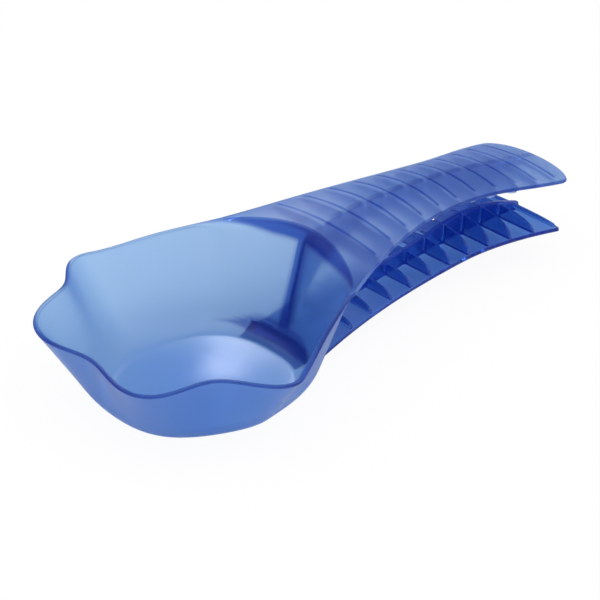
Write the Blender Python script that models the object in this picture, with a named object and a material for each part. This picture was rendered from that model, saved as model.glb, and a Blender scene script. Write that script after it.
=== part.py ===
"""Feed scoop whose two-armed handle closes a bag.

Frame: +X runs along the handle from the bowl to the tip, +Z is up, the scoop
is mirrored across Y = 0.  The origin is on the resting plane, on the centre
line of the bowl.  Lengths are written in millimetres and built in metres.
"Front" is the -X side of the bowl, "back" and "rear" face the handle.
"""
import math

import bmesh
import bpy
import numpy as np
from mathutils import Vector

MM = 0.001
GAP = 0.3                 # clearance left between neighbouring members
WALL_GAP = 0.45           # x offset of the heel and web from the bowl's wall

# ---- bowl: scalloped rim and flank ----------------------------------------
RIM_RADIUS = 49.2         # mean radius of the scalloped mouth
RIM_STRETCH = 1.216       # mouth is this much wider than it is long
SCALLOPS_PER_TURN = 6
SCALLOP_FRONT = 4.2       # depth of the flutes at the front
SCALLOP_SIDE = 4.9        # depth of the flutes at the sides
SCALLOP_CHANGE = 0.5      # radians from the front where the depth starts to change
SCALLOP_CHANGE_RUN = 1.0  # radians over which it changes
SCALLOP_SWELL = -1.1      # change of radius growing away from the front
SCALLOP_END = 96.8        # degrees from the front where the flank starts
FLANK_ANGLE = 26.7        # flank heads inwards at this angle, degrees
FLANK_REACH = 37.4        # length of the flank curve's handle at the bowl
WAIST_REACH = 59.8        # length of the flank curve's handle at the waist

# ---- bowl: foot and wall --------------------------------------------------
BASE_CENTRE = 8.6         # x of the foot's centre
BASE_HALF_LENGTH = 42.2
BASE_HALF_WIDTH = 38.0
BASE_POWER_FRONT = 2.1    # superellipse power of the foot, larger is squarer
BASE_POWER_REAR = 2.5
BASE_FILLET = 8.5         # plan run of the fillet round the foot
FILLET_RISE = 0.26        # part of the wall's height taken by the fillet
WALL = 1.9
FLOOR = 2.3
FILLET_START = FLOOR - 0.1  # thickness where the fillet leaves the floor
BOWL_POINTS = 120         # points round each ring

# ---- bowl: rear edge of the mouth -----------------------------------------
MOUTH_BACK = 67.5         # x of the mouth's rear edge on the centre line
MOUTH_BOW = 0.0087        # how fast that edge bows forward with y, 1/mm
MOUTH_BLEND = 2.2         # softness of the corner between flank and rear edge
BLEND_DATUM = 40.0        # radius subtracted to keep the exponentials moderate
REAR_SPREAD = 80.0        # rear edge counts within this many degrees of +X
CORNER_EASE = 2.4         # degrees of easing on the mouth outline
EASE_SAMPLES = 6          # finer samples per ring point while easing
LIP_RADIUS = 5.0          # roll between back wall and handle plate
REAR_GAIN = 4             # how quickly the lip takes over from the plain rim
LIP_MIN_RISE = 0.3        # least upward slope used to reach the lip's corner

# ---- upper arm ------------------------------------------------------------
WAIST_X = 144.2
WAIST_HALF = 20.0
TIP_HALF = 24.3
TIP_X = 198.8
TIP_ROUND = 7.4
TIP_POWER = 3.0
PLATE = 1.9               # thickness of both arms
CROWN_X = (30.0, 65.0, 100.0, 145.0, 200.0)
CROWN_Z = (2.5, 3.8, 4.2, 3.6, 2.6)      # crown of the plate across its width
CROWN_START = 20.0        # x where the crown begins to lift the mouth's edge
CROWN_RUN = 20.0          # length over which it fades in
# height of the rim and of the upper arm's edges
EDGE_X = (-50.0, -25.0, 5.0, 25.0, 50.0, 80.0, 130.0, 200.0)
EDGE_Z = (32.6, 36.8, 35.0, 39.1, 42.6, 46.1, 46.1, 36.2)

# ---- heel and lower arm ---------------------------------------------------
HEEL_X = 57.0             # rear end of the heel strip
HEEL_HALF = 17.0
HEEL_LOW = 0.35
HEEL_TOP = 6.0
HEEL_UNDERCUT = 3.0       # heel's lower rear corner lies this far ahead of HEEL_X
HEEL_LIFT = 0.1           # and this far above HEEL_LOW
HINGE_X = 57.1            # the arm bends about a line across its root
HINGE_Z = 2.25
LOW_ROOT_X = HEEL_X + GAP
LOW_TIP_X = 191.6
LOW_TIP_ROUND = 3.6
LOW_TIP_POWER = 4
# height of the lower arm's upper face
LOW_X = (54.0, 74.0, 97.0, 120.0, 143.0, 166.0, 194.0)
LOW_Z = (2.3, 7.0, 11.0, 13.7, 15.2, 15.6, 15.8)
LOW_WAIST_HALF = 16.0
LOW_WAIST_START = 110.0   # arm widens ahead of this x ...
LOW_ROOT_FLARE = 0.00085  # ... by this much times the distance squared, 1/mm
LOW_WAIST_END = 140.0     # arm widens behind this x ...
LOW_TIP_FLARE = 0.0038    # ... by this much times the distance squared, 1/mm

# ---- ribs and spines ------------------------------------------------------
RIB_FIRST = 74.0
RIB_PITCH = 11.5
RIB_COUNT = 11
LAST_RIB_SHIFT = 0.5      # the last rib stands this much nearer the bowl
RIB_THICK = 1.2
RIB_END_DEPTH = 0.8       # depth of a rib at its two ends
UP_RIB_INSET = 2.4        # from the arm's edge to the rib's end
UP_LAST_INSET = 1.0       # added at the last rib
LOW_RIB_INSET = 0.9
LOW_LAST_INSET = 1.2
SPINE_THICK = 2.2
UP_SPINE_X = (MOUTH_BACK + 2.0, 190.5)   # start and end of the upper spine
LOW_SPINE_X = (68.0, 189.5)              # start and end of the lower spine
# depths of the spines, and of the ribs on the centre line, at these x
DEPTH_X = (60.0, 85.0, 104.0, 129.0, 149.0, 169.0, 190.0)
LOW_SPINE = (4.6, 5.8, 6.4, 7.8, 10.2, 9.2, 3.2)
LOW_RIB = (3.6, 4.8, 5.6, 7.2, 9.2, 8.4, 1.6)
UP_SPINE = (8.0, 8.0, 7.4, 7.8, 8.8, 7.6, 3.0)
UP_RIB = (6.0, 6.6, 6.6, 7.2, 7.8, 6.8, 1.6)

# ---- web between the back wall and the upper arm --------------------------
WEB_REACH = 94.0          # the web under the upper arm ends here
WEB_WALL_Z = 9.0          # lowest point against the back wall
WEB_FOOT = (57.5, 8.6)    # x, z where the curved rear edge ends
WEB_BEND = (66.0, 32.0)   # x, z of that edge's control point

# ---- materials ------------------------------------------------------------
# name: colour, roughness, alpha
PLASTICS = {
    "bowl_plastic": ((0.16, 0.30, 0.68), 0.22, 0.60),
    "upper_arm_plastic": ((0.15, 0.28, 0.66), 0.25, 0.65),
    "upper_rib_plastic": ((0.10, 0.20, 0.58), 0.28, 0.75),
    "web_plastic": ((0.09, 0.16, 0.52), 0.28, 0.75),
    "heel_plastic": ((0.12, 0.24, 0.60), 0.28, 0.70),
    "clip_arm_plastic": ((0.09, 0.18, 0.54), 0.28, 0.75),
    "clip_rib_plastic": ((0.10, 0.19, 0.56), 0.28, 0.75),
}
PLASTIC_IOR = 1.49
SMOOTH_ANGLE = 40         # degrees, sharper edges stay hard
BOWL_SMOOTH_ANGLE = 35


# ------------------------------------------------------------------- curves
def spline(stations, values, x):
    """Natural cubic through a few stations."""
    stations = np.asarray(stations, float)
    values = np.asarray(values, float)
    count = len(stations)
    step = np.diff(stations)
    slope = np.diff(values) / step
    matrix = np.zeros((count, count))
    right = np.zeros(count)
    matrix[0, 0] = matrix[-1, -1] = 1.0
    for i in range(1, count - 1):
        matrix[i, i - 1] = step[i - 1]
        matrix[i, i] = 2 * (step[i - 1] + step[i])
        matrix[i, i + 1] = step[i]
        right[i] = 6 * (slope[i] - slope[i - 1])
    bend = np.linalg.solve(matrix, right)      # second derivatives
    x = np.asarray(x, float)
    i = np.clip(np.searchsorted(stations, x) - 1, 0, count - 2)
    before = x - stations[i]
    after = stations[i + 1] - x
    return (bend[i] * after ** 3 + bend[i + 1] * before ** 3) / (6 * step[i]) \
        + (values[i] / step[i] - bend[i] * step[i] / 6) * after \
        + (values[i + 1] / step[i] - bend[i + 1] * step[i] / 6) * before


def quadratic(start, control, end, t):
    """Point at t on a quadratic Bezier curve."""
    return (1 - t) ** 2 * start + 2 * t * (1 - t) * control + t * t * end


def sine_spaced(count):
    """Values from -1 to 1, closer together towards both ends."""
    return np.sin(np.linspace(-1, 1, count) * math.pi / 2)


def outline_half():
    """Plan of the rim and handle edge on the +Y side, front to tip corner."""
    # scalloped rim
    angle = np.linspace(0, math.radians(SCALLOP_END), 161)
    side = np.clip((angle - SCALLOP_CHANGE) / SCALLOP_CHANGE_RUN, 0, 1)
    depth = SCALLOP_FRONT * (1 - side) + SCALLOP_SIDE * side
    radius = RIM_RADIUS - depth * np.cos(SCALLOPS_PER_TURN * angle) \
        + SCALLOP_SWELL * np.sin(angle / 2) ** 2
    rim_x = -radius * np.cos(angle)
    rim_y = radius * np.sin(angle) * RIM_STRETCH

    # flank, a cubic Bezier from the rim to the waist
    start = np.array([rim_x[-1], rim_y[-1]])
    inwards = math.radians(FLANK_ANGLE)
    leave = start + FLANK_REACH * np.array([math.cos(inwards), -math.sin(inwards)])
    waist = np.array([WAIST_X, WAIST_HALF])
    arrive = waist - np.array([WAIST_REACH, 0.0])
    t = np.linspace(0, 1, 81)[1:, None]
    flank = (1 - t) ** 3 * start + 3 * (1 - t) ** 2 * t * leave \
        + 3 * (1 - t) * t * t * arrive + t ** 3 * waist

    # handle, widening smoothly to the tip
    t = np.linspace(0, 1, 41)[1:]
    handle_x = WAIST_X + t * (TIP_X - TIP_ROUND - WAIST_X)
    handle_y = WAIST_HALF + (TIP_HALF - WAIST_HALF) * t ** 2 * (3 - 2 * t)
    return (np.concatenate([rim_x, flank[:, 0], handle_x]),
            np.concatenate([rim_y, flank[:, 1], handle_y]))


OUTLINE_X, OUTLINE_Y = outline_half()
WIDEST = int(np.argmax(OUTLINE_Y))


def half_width(x):
    """Half width of the flank and handle at x (behind the widest point)."""
    return np.interp(x, OUTLINE_X[WIDEST:], OUTLINE_Y[WIDEST:])


def edge_height(x):
    return spline(EDGE_X, EDGE_Z, x)


def crown(x, y):
    """Rise of the upper plate above its edges."""
    middle = np.interp(x, CROWN_X, CROWN_Z)
    return middle * (1 - np.clip(np.abs(y) / half_width(x), 0, 1) ** 2)


def top_height(x, y):
    """Upper face of the handle plate."""
    return edge_height(x) + crown(x, y)


def mouth_x(y):
    """Rear edge of the mouth."""
    return MOUTH_BACK - MOUTH_BOW * y * y


def low_height(x):
    """Upper face of the lower arm, level across its width."""
    return spline(LOW_X, LOW_Z, x)


def low_half(x):
    """Half width of the lower arm."""
    return LOW_WAIST_HALF + LOW_ROOT_FLARE * np.maximum(0, LOW_WAIST_START - x) ** 2 \
        + LOW_TIP_FLARE * np.maximum(0, x - LOW_WAIST_END) ** 2


def mouth():
    """Mouth by polar angle about the foot's centre: angle, x, y, rear weight."""
    outline_angle = np.arctan2(OUTLINE_Y, OUTLINE_X - BASE_CENTRE)    # pi at the front
    outline_radius = np.hypot(OUTLINE_X - BASE_CENTRE, OUTLINE_Y)
    order = np.argsort(outline_angle)
    y = np.linspace(-70, 70, 281)
    rear_x = mouth_x(y) - BASE_CENTRE

    count = EASE_SAMPLES * BOWL_POINTS
    phi = np.linspace(0, 2 * math.pi, count, endpoint=False)
    signed = (phi + math.pi) % (2 * math.pi) - math.pi
    away = np.abs(signed)
    side = np.interp(away, outline_angle[order], outline_radius[order])
    rear = np.where(away < math.radians(REAR_SPREAD),
                    np.interp(away, np.arctan2(y, rear_x), np.hypot(rear_x, y)), 1e3)
    # soft minimum of the two outlines
    radius = BLEND_DATUM - MOUTH_BLEND * np.log(
        np.exp(-(side - BLEND_DATUM) / MOUTH_BLEND)
        + np.exp(-(rear - BLEND_DATUM) / MOUTH_BLEND))
    back = 1 / (1 + np.exp((rear - side) / MOUTH_BLEND))     # 1 on the rear edge

    # ease every corner of the outline with a Gaussian
    sigma = math.radians(CORNER_EASE) / (2 * math.pi / count)
    reach = int(4 * sigma)
    shifts = range(-reach, reach + 1)
    kernel = np.exp(-0.5 * (np.array(shifts) / sigma) ** 2)
    kernel /= kernel.sum()
    radius = sum(weight * np.roll(radius, shift) for weight, shift in zip(kernel, shifts))

    phi, radius, back = (a[::EASE_SAMPLES] for a in (phi, radius, back))
    return phi, BASE_CENTRE + radius * np.cos(phi), radius * np.sin(phi), back


# ------------------------------------------------------------- mesh helpers
def plastic(name):
    """Translucent glossy plastic from the table."""
    colour, roughness, alpha = PLASTICS[name]
    mat = bpy.data.materials.new(name)
    mat.use_nodes = True
    inputs = mat.node_tree.nodes["Principled BSDF"].inputs
    inputs["Base Color"].default_value = (*colour, 1)
    inputs["Roughness"].default_value = roughness
    inputs["Metallic"].default_value = 0.0
    inputs["IOR"].default_value = PLASTIC_IOR
    inputs["Alpha"].default_value = alpha
    return mat


def shade(mesh, angle):
    mesh.shade_smooth()
    mesh.set_sharp_from_angle(angle=math.radians(angle))


def make(name, verts, faces, mat, smooth=SMOOTH_ANGLE):
    """Object from millimetre vertices, merged and with normals outwards."""
    mesh = bpy.data.meshes.new(name)
    mesh.from_pydata([tuple(c * MM for c in v) for v in verts], [], faces)
    mesh.validate()
    ob = bpy.data.objects.new(name, mesh)
    bpy.context.collection.objects.link(ob)
    bm = bmesh.new()
    bm.from_mesh(mesh)
    bmesh.ops.remove_doubles(bm, verts=bm.verts, dist=1e-7)
    bmesh.ops.recalc_face_normals(bm, faces=bm.faces)
    bm.to_mesh(mesh)
    bm.free()
    mesh.materials.append(mat)
    shade(mesh, smooth)
    return ob


def arm_grid(rows, columns, root, tip, tip_round, tip_power, half):
    """Plan points of an arm, root to rounded tip by -Y to +Y."""
    along = np.linspace(0, 1, rows)
    grid = np.zeros((rows, columns, 2))
    for j, across in enumerate(sine_spaced(columns)):
        end = tip - tip_round \
            + tip_round * math.sqrt(max(0, 1 - abs(across) ** tip_power))
        start = root(across)
        x = start + along * (end - start)
        grid[:, j, 0] = x
        grid[:, j, 1] = across * half(x)
    return grid


def sheet(name, plan, top, mat):
    """Closed slab, PLATE thick, from a grid of plan points and their heights."""
    rows, columns = top.shape
    verts = np.concatenate([np.dstack([plan, top]).reshape(-1, 3),
                            np.dstack([plan, top - PLATE]).reshape(-1, 3)])
    under = rows * columns

    def index(i, j):
        return i * columns + j

    faces = []
    for i in range(rows - 1):
        for j in range(columns - 1):
            quad = (index(i, j), index(i + 1, j), index(i + 1, j + 1), index(i, j + 1))
            faces.append(quad)
            faces.append(tuple(under + k for k in reversed(quad)))
    border = [index(i, 0) for i in range(rows)] \
        + [index(rows - 1, j) for j in range(1, columns)] \
        + [index(i, columns - 1) for i in range(rows - 2, -1, -1)] \
        + [index(0, j) for j in range(columns - 2, 0, -1)]
    for a, b in zip(border, border[1:] + border[:1]):
        faces.append((a, under + a, under + b, b))
    return make(name, verts, faces, mat)


def wall_strip(name, x, y, offset, top, bottom, mat):
    """Upright strip along a plan path, widened by the plan offset to both sides."""
    verts = []
    for px, py, high, low in zip(x, y, top, bottom):
        for side in (-1, 1):
            qx = px + side * offset[0]
            qy = py + side * offset[1]
            verts += [(qx, qy, high), (qx, qy, low)]
    faces = []
    last = 4 * (len(x) - 1)
    for a in range(0, last, 4):
        b = a + 4
        faces += [(a, a + 2, b + 2, b), (a + 1, b + 1, b + 3, a + 3),
                  (a, b, b + 1, a + 1), (a + 2, a + 3, b + 3, b + 2)]
    faces.append((0, 1, 3, 2))
    faces.append((last, last + 2, last + 3, last + 1))
    return make(name, verts, faces, mat)


def loft(name, sections, mat):
    """Solid through sections of equal point count, with triangulated ends."""
    count = len(sections[0])
    total = len(sections) * count
    verts = [point for section in sections for point in section]
    faces = [tuple(reversed(range(count))), tuple(range(total - count, total))]
    for a in range(0, total - count, count):
        for j in range(count):
            k = (j + 1) % count
            faces.append((a + j, a + k, a + count + k, a + count + j))
    ob = make(name, verts, faces, mat)
    bm = bmesh.new()
    bm.from_mesh(ob.data)
    bmesh.ops.triangulate(bm, faces=[f for f in bm.faces if len(f.verts) > 4])
    bm.to_mesh(ob.data)
    bm.free()
    return ob


def unite(base, parts):
    """Joins the parts into base and removes them."""
    for part in parts:
        mod = base.modifiers.new("join", "BOOLEAN")
        mod.operation = "UNION"
        mod.solver = "EXACT"
        mod.object = part
    bpy.context.view_layer.update()
    depsgraph = bpy.context.evaluated_depsgraph_get()
    joined = bpy.data.meshes.new_from_object(base.evaluated_get(depsgraph))
    base.modifiers.clear()
    old = base.data
    base.data = joined
    bpy.data.meshes.remove(old)
    for part in parts:
        mesh = part.data
        bpy.data.objects.remove(part)
        bpy.data.meshes.remove(mesh)
    shade(joined, SMOOTH_ANGLE)
    return base


# --------------------------------------------------------------------- bowl
def bowl_rings():
    """Rings of the bowl's outer face, foot to rim."""
    phi, x, y, back = mouth()
    cos, sin = np.cos(phi), np.sin(phi)
    rear = np.clip(back * REAR_GAIN, 0, 1)
    z = edge_height(x) - PLATE * rear \
        + crown(x, y) * np.clip((x - CROWN_START) / CROWN_RUN, 0, 1)
    power = np.where(cos > 0, BASE_POWER_REAR, BASE_POWER_FRONT)
    base = (np.abs(cos / BASE_HALF_LENGTH) ** power
            + np.abs(sin / BASE_HALF_WIDTH) ** power) ** (-1 / power)

    def foot_ring(radius):
        return np.stack([BASE_CENTRE + radius * cos, radius * sin, 0 * cos], 1)

    floor_edge = foot_ring(base - BASE_FILLET)
    foot = foot_ring(base)
    lip = LIP_RADIUS * back
    lip_start = np.stack([x - lip * cos, y - lip * sin, z - lip], 1)
    rim = np.stack([x, y, z], 1)
    fillet_end = foot + (lip_start - foot) * FILLET_RISE
    wall = lip_start - fillet_end

    rings = [foot_ring((base - BASE_FILLET) * 0.5)]
    for t in (0.0, 0.2, 0.4, 0.6, 0.8, 1.0):
        rings.append(quadratic(floor_edge, foot, fillet_end, t))
    for t in (0.33, 0.66, 0.9):
        rings.append(fillet_end + wall * t)

    # The lip rolls the rear wall out to the handle; the front and flank keep
    # a plain rim, so there the same rings spread over the top of the wall.
    up = wall / np.linalg.norm(wall, axis=1)[:, None]
    rise = (z - lip_start[:, 2]) / np.maximum(up[:, 2], LIP_MIN_RISE)
    corner = lip_start + up * rise[:, None]
    weight = rear[:, None]
    for lip_t, wall_t in zip((0.0, 0.25, 0.5, 0.75, 1.0), (0.92, 0.94, 0.96, 0.98, 1.0)):
        rolled = quadratic(lip_start, corner, rim, lip_t)
        plain = fillet_end + wall * wall_t
        rings.append(rolled * weight + plain * (1 - weight))
    return np.array(rings)


def bowl(outer, mat):
    """Shell between the outer rings and their offset towards the cavity."""
    ring_count, n = outer.shape[:2]
    around = np.roll(outer, -1, 1) - np.roll(outer, 1, 1)
    upward = np.gradient(outer, axis=0)
    normal = np.cross(upward, around)
    normal /= np.linalg.norm(normal, axis=2)[..., None]
    thick = np.full(ring_count, WALL)
    thick[:3] = FLOOR, FLOOR, FILLET_START
    inner = outer + normal * thick[:, None, None]

    centres = [(BASE_CENTRE, 0.0, 0.0), (BASE_CENTRE, 0.0, FLOOR)]
    verts = np.concatenate([outer.reshape(-1, 3), inner.reshape(-1, 3), centres])
    inside = ring_count * n
    rim = inside - n
    faces = []
    for a in range(0, rim, n):
        for j in range(n):
            k = (j + 1) % n
            quad = (a + j, a + k, a + n + k, a + n + j)
            faces.append(quad)
            faces.append(tuple(inside + q for q in reversed(quad)))
    for j in range(n):
        k = (j + 1) % n
        faces.append((rim + j, rim + k, inside + rim + k, inside + rim + j))
    for j in range(n):
        k = (j + 1) % n
        faces.append((2 * inside, k, j))
        faces.append((2 * inside + 1, inside + j, inside + k))
    return make("scoop_bowl", verts, faces, mat, BOWL_SMOOTH_ANGLE)


# --------------------------------------------------------------------- arms
def upper_root(across):
    """Where a lengthwise line of the upper plate meets the mouth's rear edge."""
    x = 50.0
    for _ in range(40):
        x = mouth_x(across * float(half_width(x))) + GAP
    return x


def upper_plate(mat):
    grid = arm_grid(27, 21, upper_root, TIP_X, TIP_ROUND, TIP_POWER, half_width)
    return sheet("upper_arm", grid, top_height(grid[..., 0], grid[..., 1]), mat)


def lower_plate(mat):
    grid = arm_grid(19, 15, lambda across: LOW_ROOT_X,
                    LOW_TIP_X, LOW_TIP_ROUND, LOW_TIP_POWER, low_half)
    return sheet("clip_arm", grid, low_height(grid[..., 0]), mat)


# --------------------------------------------------------------- rib frames
def rib_frame(name, spine_x, seat, side, spine_depths, rib_depths, rib_half, mat):
    """Spine and cross ribs growing from the seat surface, side +1 up or -1 down."""
    def strip(part, x, y, offset, depth):
        near = seat(x, y)
        far = near + side * depth
        return wall_strip(part, x, y, offset,
                          np.maximum(near, far), np.minimum(near, far), mat)

    base = strip(name, spine_x, 0 * spine_x, (0.0, SPINE_THICK / 2),
                 spline(DEPTH_X, spine_depths, spine_x))
    ribs = []
    for i in range(RIB_COUNT):
        last = i == RIB_COUNT - 1
        x = RIB_FIRST + RIB_PITCH * i - (LAST_RIB_SHIFT if last else 0)
        half = rib_half(x, last)
        y = sine_spaced(15) * half
        middle = float(spline(DEPTH_X, rib_depths, x))
        depth = RIB_END_DEPTH \
            + (middle - RIB_END_DEPTH) * np.sqrt(np.maximum(0, 1 - (y / half) ** 2))
        ribs.append(strip("rib%02d" % i, np.full_like(y, x), y,
                          (-RIB_THICK / 2, 0.0), depth))
    return unite(base, ribs)


def upper_frame(mat):
    return rib_frame(
        "upper_rib_frame", np.linspace(*UP_SPINE_X, 28),
        lambda x, y: top_height(x, y) - PLATE - GAP, -1, UP_SPINE, UP_RIB,
        lambda x, last: float(half_width(x)) - UP_RIB_INSET - UP_LAST_INSET * last, mat)


def lower_frame(mat):
    return rib_frame(
        "clip_rib_frame", np.linspace(*LOW_SPINE_X, 27),
        lambda x, y: low_height(x) + GAP, 1, LOW_SPINE, LOW_RIB,
        lambda x, last: float(low_half(x)) - LOW_RIB_INSET - LOW_LAST_INSET * last, mat)


# ------------------------------------------------------------- heel and web
def heel(outer, mat):
    """Strip behind the foot that the clip arm bends from."""
    rear_rings = []
    for ring in outer[1:9]:
        rear = ring[ring[:, 0] > BASE_CENTRE + 8]
        rear_rings.append(rear[np.argsort(rear[:, 1])])
    heights = np.linspace(HEEL_LOW, HEEL_TOP, 7)
    top = float(low_height(HEEL_X))
    sections = []
    for y in np.linspace(-HEEL_HALF, HEEL_HALF, 13):
        wall_x = [np.interp(y, ring[:, 1], ring[:, 0]) for ring in rear_rings]
        wall_z = [np.interp(y, ring[:, 1], ring[:, 2]) for ring in rear_rings]
        profile = [(np.interp(z, wall_z, wall_x) + WALL_GAP, z) for z in heights]
        end_x, end_z = profile[-1]
        for t in (0.35, 0.7):
            profile.append((end_x + (HEEL_X - end_x) * t,
                            end_z + (top - end_z) * (1 - (1 - t) ** 2)))
        profile += [(HEEL_X, top), (HEEL_X, top - PLATE),
                    (HEEL_X - HEEL_UNDERCUT, HEEL_LOW + HEEL_LIFT)]
        sections.append([(x, y, z) for x, z in profile])
    return loft("heel_strip", sections, mat)


def back_web(mat):
    """Upright gusset on the centre line behind the back wall."""
    base_back = BASE_CENTRE + BASE_HALF_LENGTH
    lean = (MOUTH_BACK - LIP_RADIUS - base_back) \
        / (float(top_height(MOUTH_BACK, 0)) - PLATE - LIP_RADIUS)

    def under(x):
        """Height just below the upper spine."""
        return float(top_height(x, 0)) - PLATE - GAP \
            - float(spline(DEPTH_X, UP_SPINE, x)) - GAP

    start = UP_SPINE_X[0]
    profile = [(base_back + lean * z + WALL_GAP, z)
               for z in np.linspace(WEB_WALL_Z, under(start), 8)]
    profile += [(x, under(x)) for x in np.linspace(start, WEB_REACH, 8)]
    corner = np.array(profile[-1])
    profile += [quadratic(corner, np.array(WEB_BEND), np.array(WEB_FOOT), t)
                for t in np.linspace(0, 1, 12)[1:]]
    half = SPINE_THICK / 2
    return loft("back_web", [[(x, y, z) for x, z in profile] for y in (half, -half)], mat)


# ----------------------------------------------------------------- assembly
def hang_on(pivot, ob):
    """Moves an object's origin to the pivot and parents it there."""
    for v in ob.data.vertices:
        v.co -= pivot.location
    ob.parent = pivot


def main():
    for ob in list(bpy.data.objects):
        bpy.data.objects.remove(ob, do_unlink=True)
    outer = bowl_rings()
    bowl(outer, plastic("bowl_plastic"))
    upper_plate(plastic("upper_arm_plastic"))
    upper_frame(plastic("upper_rib_plastic"))
    back_web(plastic("web_plastic"))
    heel(outer, plastic("heel_plastic"))
    arm = lower_plate(plastic("clip_arm_plastic"))
    ribs = lower_frame(plastic("clip_rib_plastic"))

    pivot = bpy.data.objects.new("clip_hinge", None)
    pivot.location = Vector((HINGE_X, 0.0, HINGE_Z)) * MM
    bpy.context.collection.objects.link(pivot)
    bpy.context.view_layer.update()      # settle the pivot before hanging parts on it
    hang_on(pivot, arm)
    hang_on(pivot, ribs)


main()
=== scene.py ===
"""Looks of the feed scoop: fine continuous shells in translucent blue plastic.

The two shells follow the same design curves as the CAD part.  Lengths are in
millimetres until a mesh is made.
"""

import math

import bmesh
import bpy
import numpy as np
from mathutils import Matrix, Vector


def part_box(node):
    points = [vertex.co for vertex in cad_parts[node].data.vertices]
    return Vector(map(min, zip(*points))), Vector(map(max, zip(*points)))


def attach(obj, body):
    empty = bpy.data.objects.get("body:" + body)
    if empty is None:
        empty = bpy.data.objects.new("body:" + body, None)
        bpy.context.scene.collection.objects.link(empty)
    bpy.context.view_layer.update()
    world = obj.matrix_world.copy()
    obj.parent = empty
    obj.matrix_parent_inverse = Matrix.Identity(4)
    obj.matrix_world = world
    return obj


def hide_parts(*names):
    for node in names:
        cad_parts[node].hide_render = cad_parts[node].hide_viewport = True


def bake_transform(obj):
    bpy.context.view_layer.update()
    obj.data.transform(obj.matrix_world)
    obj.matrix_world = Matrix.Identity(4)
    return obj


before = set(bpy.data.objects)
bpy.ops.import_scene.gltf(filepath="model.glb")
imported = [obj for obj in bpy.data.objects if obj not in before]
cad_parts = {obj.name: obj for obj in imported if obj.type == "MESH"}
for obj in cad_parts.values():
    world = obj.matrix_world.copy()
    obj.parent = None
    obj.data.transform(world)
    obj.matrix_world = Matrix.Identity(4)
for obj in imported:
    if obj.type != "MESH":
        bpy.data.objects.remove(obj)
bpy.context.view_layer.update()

MM = 0.001

# ------------------------------------------------------------ design curves
RIM_RADIUS, RIM_STRETCH = 49.2, 1.216
SCALLOP_FRONT, SCALLOP_SIDE, SCALLOP_SWELL, SCALLOP_END = 4.2, 4.9, -1.1, 96.8
FLANK_ANGLE, FLANK_REACH, WAIST_REACH = 26.7, 37.4, 59.8
BASE_CENTRE, BASE_HALF_LENGTH, BASE_HALF_WIDTH, BASE_FILLET = 8.6, 42.2, 38.0, 8.5
WALL, FLOOR = 1.9, 2.3
MOUTH_BACK, MOUTH_BOW, CORNER_EASE, LIP_RADIUS = 67.5, 0.0087, 2.4, 5.0
WAIST_X, WAIST_HALF, TIP_HALF, TIP_X = 144.2, 20.0, 24.3, 198.8
TIP_ROUND, TIP_POWER, PLATE = 7.4, 3.0, 1.9
CROWN_X = (30.0, 65.0, 100.0, 145.0, 200.0)
CROWN_Z = (2.5, 3.8, 4.2, 3.6, 2.6)
EDGE_X = (-50.0, -25.0, 5.0, 25.0, 50.0, 80.0, 130.0, 200.0)
EDGE_Z = (32.6, 36.8, 35.0, 39.1, 42.6, 46.1, 46.1, 36.2)
HEEL_X, HEEL_HALF, HEEL_LOW, HEEL_TOP = 57.0, 17.0, 0.35, 6.0
LOW_TIP_X, LOW_WAIST_HALF, LOW_TIP_ROUND = 191.6, 16.0, 3.6
LOW_X = (54.0, 74.0, 97.0, 120.0, 143.0, 166.0, 194.0)
LOW_Z = (2.3, 7.0, 11.0, 13.7, 15.2, 15.6, 15.8)
RIB_FIRST, RIB_PITCH, RIB_COUNT, RIB_THICK, SPINE_THICK = 74.0, 11.5, 11, 1.2, 2.2
SPINE_X = (60.0, 85.0, 104.0, 129.0, 149.0, 169.0, 190.0)
LOW_SPINE = (4.6, 5.8, 6.4, 7.8, 10.2, 9.2, 3.2)
LOW_RIB = (3.6, 4.8, 5.6, 7.2, 9.2, 8.4, 1.6)
UP_SPINE = (8.0, 8.0, 7.4, 7.8, 8.8, 7.6, 3.0)
UP_RIB = (6.0, 6.6, 6.6, 7.2, 7.8, 6.8, 1.6)
WEB_REACH = 94.0

DOME, DOME_EDGE = 2.8, 1.8         # floor thickness, centre and edge
LIP_SHADE = 1.0           # painted shade along the rolled rear lip
RIM_DEPTH = 0.75          # colour of the rounded rim
ROOT_SHADE = 0.90         # painted shade on the bowl's fillet at the clip arm's root
EDGE_DEPTH = 0.9          # colour of the arms' rounded edges
EDGE = 0.7                # radius of the rounded edges
RIM_COLUMNS = 280


def spline(xs, ys, x):
    xs = np.asarray(xs, float)
    ys = np.asarray(ys, float)
    n = len(xs)
    h = np.diff(xs)
    a = np.zeros((n, n))
    r = np.zeros(n)
    a[0, 0] = a[-1, -1] = 1.0
    for i in range(1, n - 1):
        a[i, i - 1] = h[i - 1]
        a[i, i] = 2 * (h[i - 1] + h[i])
        a[i, i + 1] = h[i]
        r[i] = 6 * ((ys[i + 1] - ys[i]) / h[i] - (ys[i] - ys[i - 1]) / h[i - 1])
    m = np.linalg.solve(a, r)
    x = np.asarray(x, float)
    i = np.clip(np.searchsorted(xs, x) - 1, 0, n - 2)
    d0 = x - xs[i]
    d1 = xs[i + 1] - x
    return (m[i] * d1 ** 3 + m[i + 1] * d0 ** 3) / (6 * h[i]) \
        + (ys[i] / h[i] - m[i] * h[i] / 6) * d1 \
        + (ys[i + 1] / h[i] - m[i + 1] * h[i] / 6) * d0


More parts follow.
